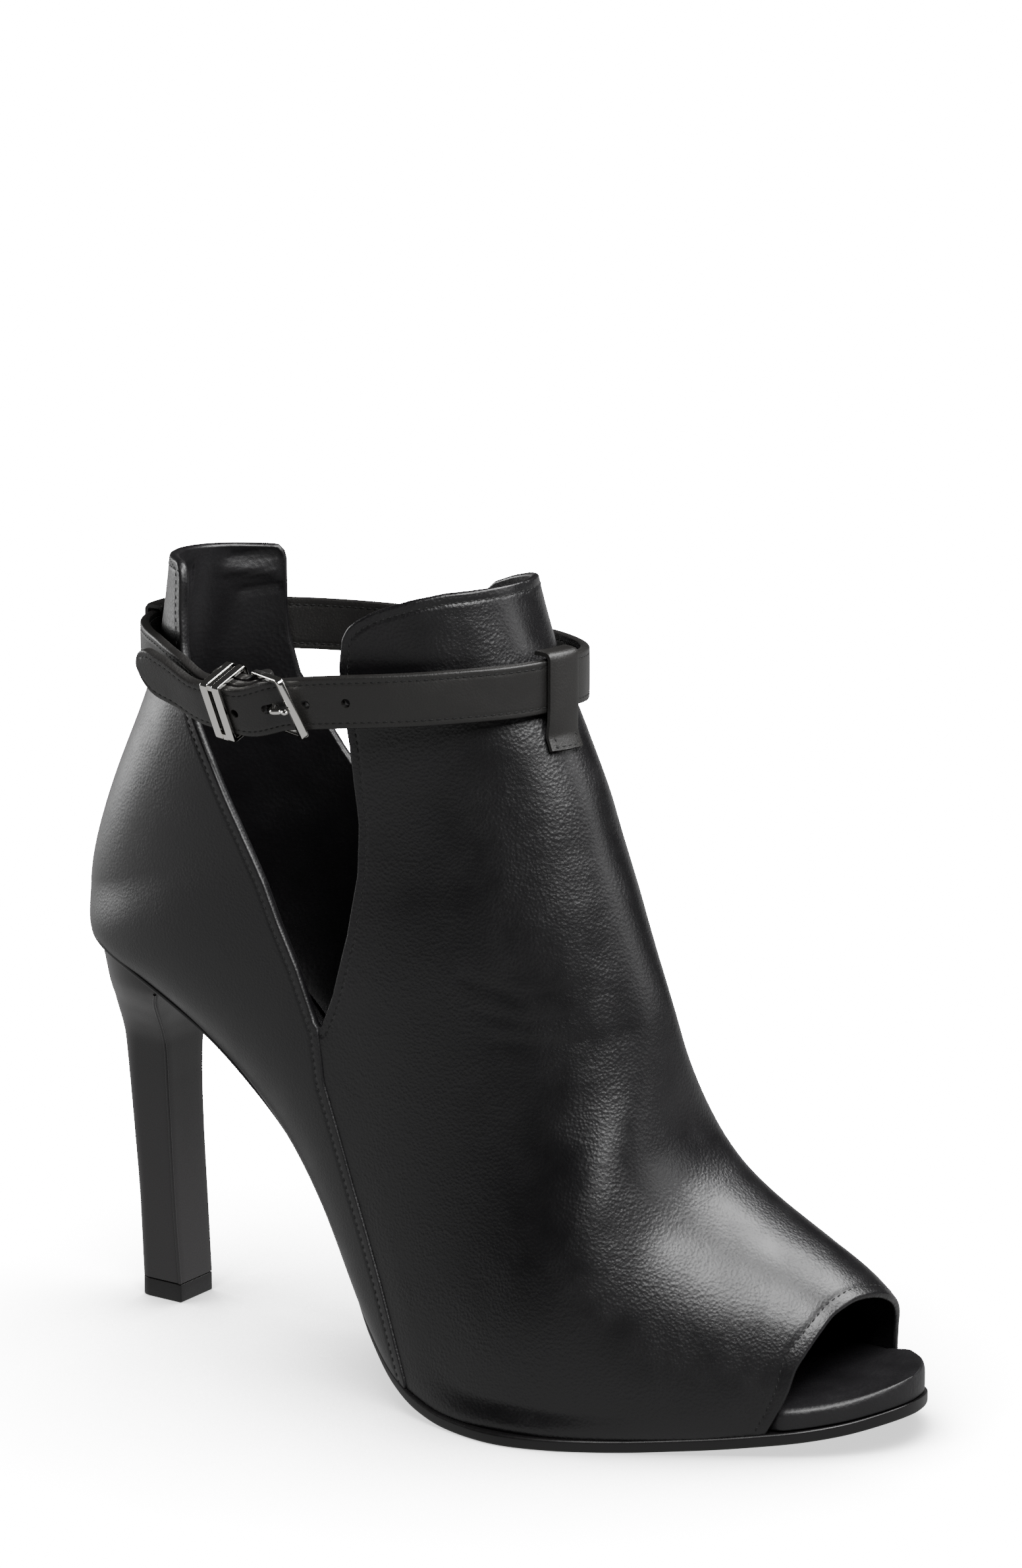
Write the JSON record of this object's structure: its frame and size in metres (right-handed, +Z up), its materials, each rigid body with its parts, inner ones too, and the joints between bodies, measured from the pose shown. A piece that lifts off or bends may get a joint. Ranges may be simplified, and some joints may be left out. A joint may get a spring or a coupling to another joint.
{
  "type": "peep toe ankle boot",
  "caption": "High-heeled peep toe ankle boot for the right foot, black leather, with deep side cut-outs and an ankle strap with a polished buckle.",
  "frame": {"origin": "on the floor, under the middle of the boot's box", "axes": "+X from the heel to the toe, +Y to the inner side of the foot, +Z up"},
  "size_m": [0.2256, 0.0818, 0.1955],
  "materials": {
    "upper_leather": "smooth calf with a fine pebbled grain, softly glossy",
    "strap_leather": "fine grained, painted edges, stitched",
    "insole_cover": "smooth leather sock over a wrapped insole",
    "heel_cover": "smooth leather wrapped round the heel block",
    "sole_edge": "black burnished edge",
    "top_lift_rubber": "satin",
    "polished_metal": "polished nickel plate"
  },
  "bodies": {
    "root": {"upper": "upper_leather", "outsole": "sole_edge", "insole": "insole_cover", "heel": "heel_cover", "top_lift": "top_lift_rubber", "strap": "strap_leather", "buckle_frame": "polished_metal", "buckle_prong": "polished_metal", "strap_keeper": "polished_metal", "front_loop": "strap_leather", "back_loop": "strap_leather"}
  },
  "joints": []
}
